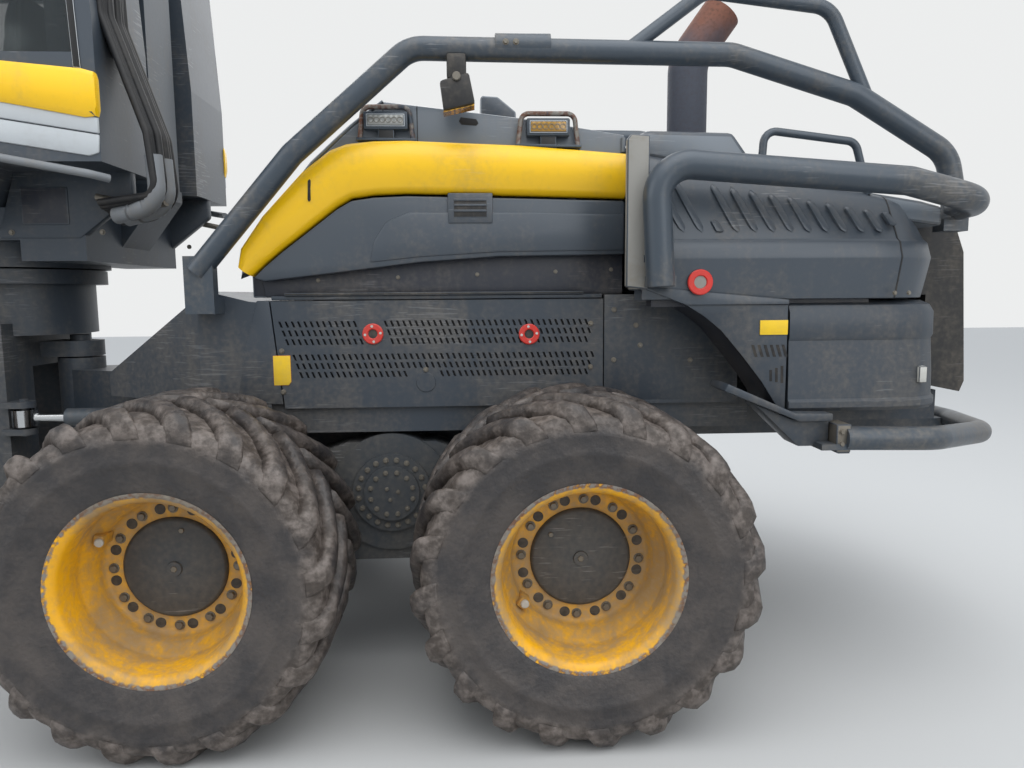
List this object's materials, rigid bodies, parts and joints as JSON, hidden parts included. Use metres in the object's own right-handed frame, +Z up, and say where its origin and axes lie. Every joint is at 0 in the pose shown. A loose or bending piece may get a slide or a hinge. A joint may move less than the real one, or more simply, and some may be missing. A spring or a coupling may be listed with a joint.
{
  "type": "forestry harvester",
  "caption": "Articulated eight-wheeled forestry harvester with a slewing cab and crane, bogie axles and a felling head on a telescopic boom.",
  "frame": {"origin": "on the ground under the slewing axis of the cab and crane, which is near the middle of the overall length and width", "axes": "+X forward to the crane tip, +Y to the left side, +Z up"},
  "size_m": [9.955, 2.99, 4.1657],
  "materials": {
    "mid_frame": "satin",
    "rear_frame": "satin",
    "rear_bogies": "satin",
    "engine_block": "satin",
    "side_panels": "satin",
    "rear_housing": "satin",
    "rear_bumper": "satin",
    "rear_grille": "satin",
    "guard_rails": "satin",
    "exhaust_stack": "satin",
    "engine_hood": "satin",
    "work_lamps": "gloss",
    "front_frame": "satin",
    "front_bogies": "satin",
    "front_deck": "satin",
    "rear_steer_cylinder": "satin",
    "rear_steer_rod": "gloss",
    "front_steer_cylinder": "satin",
    "front_steer_rod": "gloss",
    "slew_platform": "satin",
    "cab_shell": "satin",
    "cab_roof": "satin",
    "cab_glass": "gloss",
    "operator_seat": "matt",
    "crane_column": "satin",
    "cab_hoses": "matt",
    "cab_door": "satin",
    "door_glass": "gloss",
    "lift_boom": "satin",
    "lift_cylinder": "satin",
    "lift_rod": "gloss",
    "stick": "satin",
    "stick_cylinder": "satin",
    "stick_rod": "gloss",
    "stick_extension": "satin",
    "boom_link": "satin",
    "rotator": "satin",
    "tilt_frame": "satin",
    "head_frame": "satin",
    "saw_box": "satin",
    "knife_front": "satin",
    "knife_rear": "satin",
    "feed_roller_front": "satin",
    "feed_roller_rear": "satin",
    "tyre_rear_fore_left": "matt",
    "rim_rear_fore_left": "satin",
    "tyre_rear_fore_right": "matt",
    "rim_rear_fore_right": "satin",
    "tyre_rear_aft_left": "matt",
    "rim_rear_aft_left": "satin",
    "tyre_rear_aft_right": "matt",
    "rim_rear_aft_right": "satin",
    "tyre_front_fore_left": "matt",
    "rim_front_fore_left": "satin",
    "tyre_front_fore_right": "matt",
    "rim_front_fore_right": "satin",
    "tyre_front_aft_left": "matt",
    "rim_front_aft_left": "satin",
    "tyre_front_aft_right": "matt",
    "rim_front_aft_right": "satin"
  },
  "bodies": {
    "mid": {"mid_frame": "mid_frame"},
    "rear": {"rear_frame": "rear_frame", "rear_bogies": "rear_bogies", "engine_block": "engine_block", "side_panels": "side_panels", "rear_housing": "rear_housing", "rear_bumper": "rear_bumper", "rear_grille": "rear_grille", "guard_rails": "guard_rails", "exhaust_stack": "exhaust_stack"},
    "hood": {"engine_hood": "engine_hood", "work_lamps": "work_lamps"},
    "front": {"front_frame": "front_frame", "front_bogies": "front_bogies", "front_deck": "front_deck"},
    "rear_steer_barrel": {"rear_steer_cylinder": "rear_steer_cylinder"},
    "rear_steer_bar": {"rear_steer_rod": "rear_steer_rod"},
    "front_steer_barrel": {"front_steer_cylinder": "front_steer_cylinder"},
    "front_steer_bar": {"front_steer_rod": "front_steer_rod"},
    "superstructure": {"slew_platform": "slew_platform", "cab_shell": "cab_shell", "cab_roof": "cab_roof", "cab_glass": "cab_glass", "operator_seat": "operator_seat", "crane_column": "crane_column", "cab_hoses": "cab_hoses"},
    "door": {"cab_door": "cab_door", "door_glass": "door_glass"},
    "lift_arm": {"lift_boom": "lift_boom"},
    "lift_barrel": {"lift_cylinder": "lift_cylinder"},
    "lift_bar": {"lift_rod": "lift_rod"},
    "stick_arm": {"stick": "stick"},
    "stick_barrel": {"stick_cylinder": "stick_cylinder"},
    "stick_bar": {"stick_rod": "stick_rod"},
    "extension": {"stick_extension": "stick_extension"},
    "link": {"boom_link": "boom_link"},
    "rotator_body": {"rotator": "rotator"},
    "tilt_fork": {"tilt_frame": "tilt_frame"},
    "head": {"head_frame": "head_frame", "saw_box": "saw_box"},
    "knife_a": {"knife_front": "knife_front"},
    "knife_b": {"knife_rear": "knife_rear"},
    "roller_a": {"feed_roller_front": "feed_roller_front"},
    "roller_b": {"feed_roller_rear": "feed_roller_rear"},
    "wheel_rear_fore_left": {"tyre_rear_fore_left": "tyre_rear_fore_left", "rim_rear_fore_left": "rim_rear_fore_left"},
    "wheel_rear_fore_right": {"tyre_rear_fore_right": "tyre_rear_fore_right", "rim_rear_fore_right": "rim_rear_fore_right"},
    "wheel_rear_aft_left": {"tyre_rear_aft_left": "tyre_rear_aft_left", "rim_rear_aft_left": "rim_rear_aft_left"},
    "wheel_rear_aft_right": {"tyre_rear_aft_right": "tyre_rear_aft_right", "rim_rear_aft_right": "rim_rear_aft_right"},
    "wheel_front_fore_left": {"tyre_front_fore_left": "tyre_front_fore_left", "rim_front_fore_left": "rim_front_fore_left"},
    "wheel_front_fore_right": {"tyre_front_fore_right": "tyre_front_fore_right", "rim_front_fore_right": "rim_front_fore_right"},
    "wheel_front_aft_left": {"tyre_front_aft_left": "tyre_front_aft_left", "rim_front_aft_left": "rim_front_aft_left"},
    "wheel_front_aft_right": {"tyre_front_aft_right": "tyre_front_aft_right", "rim_front_aft_right": "rim_front_aft_right"}
  },
  "joints": [
    {"name": "rear_steer", "type": "hinge", "parent": "mid", "child": "rear", "pos_m": [-0.3, 0, 1.15], "axis": [0, 0, 1], "range_deg": [-20, 20]},
    {"name": "front_steer", "type": "hinge", "parent": "mid", "child": "front", "pos_m": [0.3, 0, 1.15], "axis": [0, 0, 1], "range_deg": [-20, 20]},
    {"name": "wheel_spin_rear_fore_left", "type": "hinge", "parent": "rear", "child": "wheel_rear_fore_left", "pos_m": [-1.205, 1.14, 0.6725], "axis": [0, 1, 0], "continuous": true},
    {"name": "wheel_spin_rear_fore_right", "type": "hinge", "parent": "rear", "child": "wheel_rear_fore_right", "pos_m": [-1.205, -1.14, 0.6725], "axis": [0, 1, 0], "continuous": true},
    {"name": "wheel_spin_rear_aft_left", "type": "hinge", "parent": "rear", "child": "wheel_rear_aft_left", "pos_m": [-2.795, 1.14, 0.6725], "axis": [0, 1, 0], "continuous": true},
    {"name": "wheel_spin_rear_aft_right", "type": "hinge", "parent": "rear", "child": "wheel_rear_aft_right", "pos_m": [-2.795, -1.14, 0.6725], "axis": [0, 1, 0], "continuous": true},
    {"name": "wheel_spin_front_fore_left", "type": "hinge", "parent": "front", "child": "wheel_front_fore_left", "pos_m": [2.795, 1.14, 0.6725], "axis": [0, 1, 0], "continuous": true},
    {"name": "wheel_spin_front_fore_right", "type": "hinge", "parent": "front", "child": "wheel_front_fore_right", "pos_m": [2.795, -1.14, 0.6725], "axis": [0, 1, 0], "continuous": true},
    {"name": "wheel_spin_front_aft_left", "type": "hinge", "parent": "front", "child": "wheel_front_aft_left", "pos_m": [1.205, 1.14, 0.6725], "axis": [0, 1, 0], "continuous": true},
    {"name": "wheel_spin_front_aft_right", "type": "hinge", "parent": "front", "child": "wheel_front_aft_right", "pos_m": [1.205, -1.14, 0.6725], "axis": [0, 1, 0], "continuous": true},
    {"name": "slew", "type": "hinge", "parent": "mid", "child": "superstructure", "pos_m": [0, 0, 1.866], "axis": [0, 0, 1], "range_deg": [-140, 140]},
    {"name": "cab_door_hinge", "type": "hinge", "parent": "superstructure", "child": "door", "pos_m": [-0.12, 0.814, 2.8], "axis": [0, 0, 1], "range_deg": [0, 80]},
    {"name": "hood_lift", "type": "hinge", "parent": "rear", "child": "hood", "pos_m": [-3.085, 0, 2.44], "axis": [0, -1, 0], "range_deg": [0, 50]},
    {"name": "lift", "type": "hinge", "parent": "superstructure", "child": "lift_arm", "pos_m": [-0.68, 0, 3.79], "axis": [0, -1, 0], "range_deg": [0, 55]},
    {"name": "lift_cylinder_pivot", "type": "hinge", "parent": "superstructure", "child": "lift_barrel", "pos_m": [-0.8, 0, 4.09], "axis": [0, -1, 0], "range_deg": [-2, 57.1]},
    {"name": "lift_rod_slide", "type": "slide", "parent": "lift_barrel", "child": "lift_bar", "axis": [0.9999, 0, -0.0102], "range_m": [-0.3118, 0.01]},
    {"name": "stick_pivot", "type": "hinge", "parent": "lift_arm", "child": "stick_arm", "pos_m": [2.438, 0, 3.96], "axis": [0, -1, 0], "range_deg": [-15, 50]},
    {"name": "stick_cylinder_pivot", "type": "hinge", "parent": "lift_arm", "child": "stick_barrel", "pos_m": [1.32956, 0, 3.66922], "axis": [0, -1, 0], "range_deg": [-3.8, 7.8]},
    {"name": "stick_rod_slide", "type": "slide", "parent": "stick_barrel", "child": "stick_bar", "axis": [0.9941, 0, -0.1086], "range_m": [-0.1132, 0.3541]},
    {"name": "extension_slide", "type": "slide", "parent": "stick_arm", "child": "extension", "axis": [0.7661, 0, -0.6427], "range_m": [0, 1.9]},
    {"name": "link_swing", "type": "hinge", "parent": "extension", "child": "link", "pos_m": [4.56, 0, 2.18], "axis": [0, 1, 0], "range_deg": [-40, 40]},
    {"name": "rotator_swing", "type": "hinge", "parent": "link", "child": "rotator_body", "pos_m": [4.56, 0, 1.98], "axis": [1, 0, 0], "range_deg": [-25, 25]},
    {"name": "rotator_turn", "type": "hinge", "parent": "rotator_body", "child": "tilt_fork", "pos_m": [4.56, 0, 1.69], "axis": [0, 0, 1], "continuous": true},
    {"name": "head_tilt", "type": "hinge", "parent": "tilt_fork", "child": "head", "pos_m": [4.56, -0.35, 1.52], "axis": [-1, 0, 0], "range_deg": [0, 90]},
    {"name": "knife_front_hinge", "type": "hinge", "parent": "head", "child": "knife_a", "pos_m": [4.782, -0.556, 1.33], "axis": [0, -1, 0], "range_deg": [-25, 40]},
    {"name": "knife_rear_hinge", "type": "hinge", "parent": "head", "child": "knife_b", "pos_m": [4.338, -0.522, 1.33], "axis": [0, 1, 0], "range_deg": [-25, 40]},
    {"name": "roller_front_hinge", "type": "hinge", "parent": "head", "child": "roller_a", "pos_m": [4.782, 0, 1.33], "axis": [0, -1, 0], "range_deg": [-12, 30]},
    {"name": "roller_rear_hinge", "type": "hinge", "parent": "head", "child": "roller_b", "pos_m": [4.338, 0, 1.33], "axis": [0, 1, 0], "range_deg": [-12, 30]},
    {"name": "rear_steer_cylinder_pivot", "type": "hinge", "parent": "rear", "child": "rear_steer_barrel", "pos_m": [-0.92, 0.4, 1.15], "axis": [0, 0, 1], "range_deg": [-6, 6]},
    {"name": "rear_steer_rod_slide", "type": "slide", "parent": "rear_steer_barrel", "child": "rear_steer_bar", "axis": [1, 0, 0], "range_m": [-0.16, 0.16]},
    {"name": "front_steer_cylinder_pivot", "type": "hinge", "parent": "front", "child": "front_steer_barrel", "pos_m": [0.92, 0.4, 1.15], "axis": [0, 0, 1], "range_deg": [-6, 6]},
    {"name": "front_steer_rod_slide", "type": "slide", "parent": "front_steer_barrel", "child": "front_steer_bar", "axis": [-1, 0, 0], "range_m": [-0.16, 0.16]}
  ],
  "couplings": [
    {"joint": "lift_cylinder_pivot", "follows": "lift", "ratio": 1.0013},
    {"joint": "lift_rod_slide", "follows": "lift", "m_per_rad": -0.3144},
    {"joint": "stick_cylinder_pivot", "follows": "stick_pivot", "ratio": 0.1168},
    {"joint": "stick_rod_slide", "follows": "stick_pivot", "m_per_rad": 0.3943},
    {"joint": "knife_rear_hinge", "follows": "knife_front_hinge", "ratio": 1},
    {"joint": "roller_rear_hinge", "follows": "roller_front_hinge", "ratio": 1},
    {"joint": "rear_steer_cylinder_pivot", "follows": "rear_steer", "ratio": -0.1223},
    {"joint": "rear_steer_rod_slide", "follows": "rear_steer", "m_per_rad": 0.404},
    {"joint": "front_steer_cylinder_pivot", "follows": "front_steer", "ratio": -0.1223},
    {"joint": "front_steer_rod_slide", "follows": "front_steer", "m_per_rad": -0.404}
  ]
}
